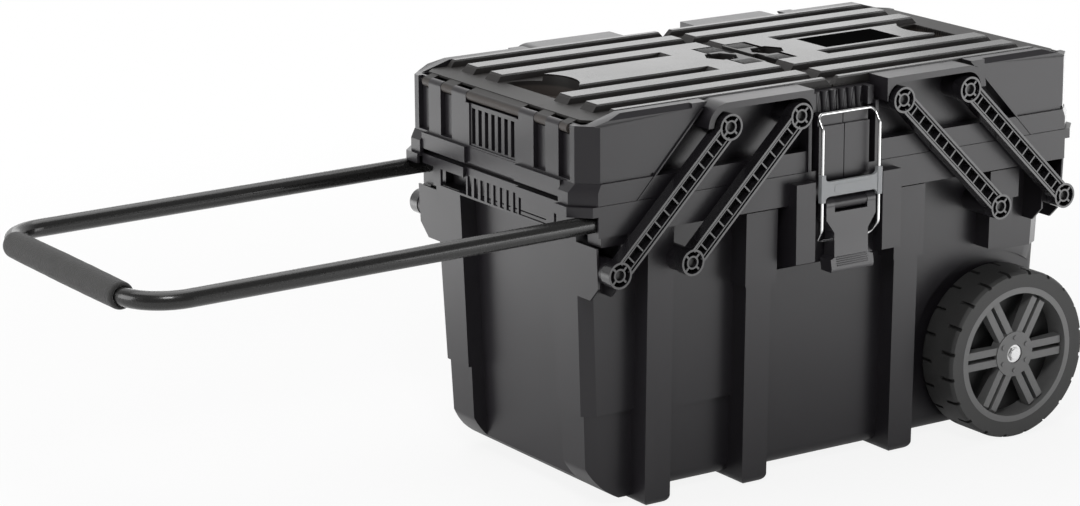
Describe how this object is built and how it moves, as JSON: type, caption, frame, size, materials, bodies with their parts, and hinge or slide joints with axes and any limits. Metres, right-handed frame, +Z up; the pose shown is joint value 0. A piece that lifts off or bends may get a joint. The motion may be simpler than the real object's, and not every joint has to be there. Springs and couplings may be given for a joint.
{
  "type": "jobsite storage box",
  "caption": "Wheeled jobsite storage box: deep ribbed bin, two lidded trays that swing out on paired arms, wire latch and pull-out handle.",
  "frame": {"origin": "on the floor under the middle of the bin, at the pad below the floor of the bin", "axes": "+X along the box towards the wheels, -Y to the front with the latch, +Z up"},
  "size_m": [1.121, 0.3721, 0.4122],
  "materials": {
    "shell": "charcoal moulded plastic with a fine grain",
    "pins": "black moulded plastic",
    "steel": "zinc-plated steel",
    "tyre": "dark grey moulded tread",
    "wheel_core": "black moulded plastic",
    "wheel_rim": "mid-grey moulded plastic",
    "arm": "charcoal moulded plastic",
    "divider": "charcoal moulded plastic",
    "lid": "charcoal moulded plastic with a fine grain",
    "catch": "charcoal moulded plastic, finely ribbed",
    "label": "plain glossy black plate",
    "lever": "near-black moulded plastic",
    "wire": "bright plated wire",
    "clip": "light grey moulded plastic",
    "tube": "glossy black powder coat",
    "grip": "soft black foam",
    "plug": "black moulded plastic"
  },
  "bodies": {
    "bin": {"bin_shell": "shell", "lower_pivot_pins": "pins", "axle": "steel", "axle_keepers": "shell", "axle_washers": "steel", "axle_nuts": "steel", "latch_lever_pin": "steel", "rear_handle_guide": "shell", "front_handle_guide": "shell"},
    "front_wheel": {"front_tyre": "tyre", "front_wheel_rim": "wheel_rim", "front_wheel_core": "wheel_core"},
    "rear_wheel": {"rear_tyre": "tyre", "rear_wheel_rim": "wheel_rim", "rear_wheel_core": "wheel_core"},
    "handle": {"handle_tube": "tube", "handle_grip": "grip", "handle_tube_plugs": "plug"},
    "latch_lever": {"latch_lever": "lever"},
    "latch_wire": {"latch_wire": "wire", "latch_wire_clip": "clip"},
    "left_outer_arms": {"left_front_outer_arm": "arm", "left_rear_outer_arm": "arm"},
    "left_inner_arms": {"left_front_inner_arm": "arm", "left_rear_inner_arm": "arm"},
    "left_tray": {"left_tray": "shell", "left_tray_dividers": "divider", "left_tray_pivot_pins": "pins", "left_lid_hinge_pin": "steel"},
    "left_lid": {"left_lid": "lid"},
    "left_lid_catch": {"left_lid_catch": "catch"},
    "right_outer_arms": {"right_front_outer_arm": "arm", "right_rear_outer_arm": "arm"},
    "right_inner_arms": {"right_front_inner_arm": "arm", "right_rear_inner_arm": "arm"},
    "right_tray": {"right_tray": "shell", "right_tray_dividers": "divider", "right_tray_pivot_pins": "pins", "right_lid_hinge_pin": "steel"},
    "right_lid": {"right_lid": "lid", "label_plate": "label"},
    "right_lid_catch": {"right_lid_catch": "catch"}
  },
  "joints": [
    {"name": "left_swing", "type": "hinge", "parent": "bin", "child": "left_outer_arms", "pos_m": [-0.2844, 0, 0.2564], "axis": [0, -1, 0], "range_deg": [0, 85]},
    {"name": "left_tray_level", "type": "hinge", "parent": "left_outer_arms", "child": "left_tray", "pos_m": [-0.15211, 0, 0.38686], "axis": [0, -1, 0], "range_deg": [-85, 0]},
    {"name": "left_inner_swing", "type": "hinge", "parent": "bin", "child": "left_inner_arms", "pos_m": [-0.1975, 0, 0.2564], "axis": [0, -1, 0], "range_deg": [0, 85]},
    {"name": "left_lid_hinge", "type": "hinge", "parent": "left_tray", "child": "left_lid", "pos_m": [-0.3072, 0, 0.39666], "axis": [0, -1, 0], "range_deg": [0, 105]},
    {"name": "left_catch_slide", "type": "slide", "parent": "left_lid", "child": "left_lid_catch", "axis": [-1, 0, 0], "range_m": [0, 0.004], "stiffness_N_per_m": 200},
    {"name": "right_swing", "type": "hinge", "parent": "bin", "child": "right_outer_arms", "pos_m": [0.2844, 0, 0.2564], "axis": [0, 1, 0], "range_deg": [0, 85]},
    {"name": "right_tray_level", "type": "hinge", "parent": "right_outer_arms", "child": "right_tray", "pos_m": [0.15211, 0, 0.38686], "axis": [0, 1, 0], "range_deg": [-85, 0]},
    {"name": "right_inner_swing", "type": "hinge", "parent": "bin", "child": "right_inner_arms", "pos_m": [0.1975, 0, 0.2564], "axis": [0, 1, 0], "range_deg": [0, 85]},
    {"name": "right_lid_hinge", "type": "hinge", "parent": "right_tray", "child": "right_lid", "pos_m": [0.3072, 0, 0.39666], "axis": [0, 1, 0], "range_deg": [0, 105]},
    {"name": "right_catch_slide", "type": "slide", "parent": "right_lid", "child": "right_lid_catch", "axis": [1, 0, 0], "range_m": [0, 0.004], "stiffness_N_per_m": 200},
    {"name": "front_wheel_spin", "type": "hinge", "parent": "bin", "child": "front_wheel", "pos_m": [0.2262, -0.158, 0.0908], "axis": [0, 1, 0], "continuous": true},
    {"name": "rear_wheel_spin", "type": "hinge", "parent": "bin", "child": "rear_wheel", "pos_m": [0.2262, 0.158, 0.0908], "axis": [0, 1, 0], "continuous": true},
    {"name": "handle_slide", "type": "slide", "parent": "bin", "child": "handle", "axis": [0.9999, 0, 0.0105], "range_m": [0, 0.415]},
    {"name": "latch_lever_hinge", "type": "hinge", "parent": "bin", "child": "latch_lever", "pos_m": [0, -0.1758, 0.2893], "axis": [-1, 0, 0], "range_deg": [0, 120]},
    {"name": "latch_wire_tilt", "type": "hinge", "parent": "latch_lever", "child": "latch_wire", "pos_m": [0, -0.171, 0.2505], "axis": [-1, 0, 0], "range_deg": [-144, 0]}
  ],
  "couplings": [
    {"joint": "left_tray_level", "follows": "left_swing", "ratio": -1},
    {"joint": "left_inner_swing", "follows": "left_swing", "ratio": 1},
    {"joint": "right_tray_level", "follows": "right_swing", "ratio": -1},
    {"joint": "right_inner_swing", "follows": "right_swing", "ratio": 1},
    {"joint": "latch_wire_tilt", "follows": "latch_lever_hinge", "ratio": -1.2}
  ]
}
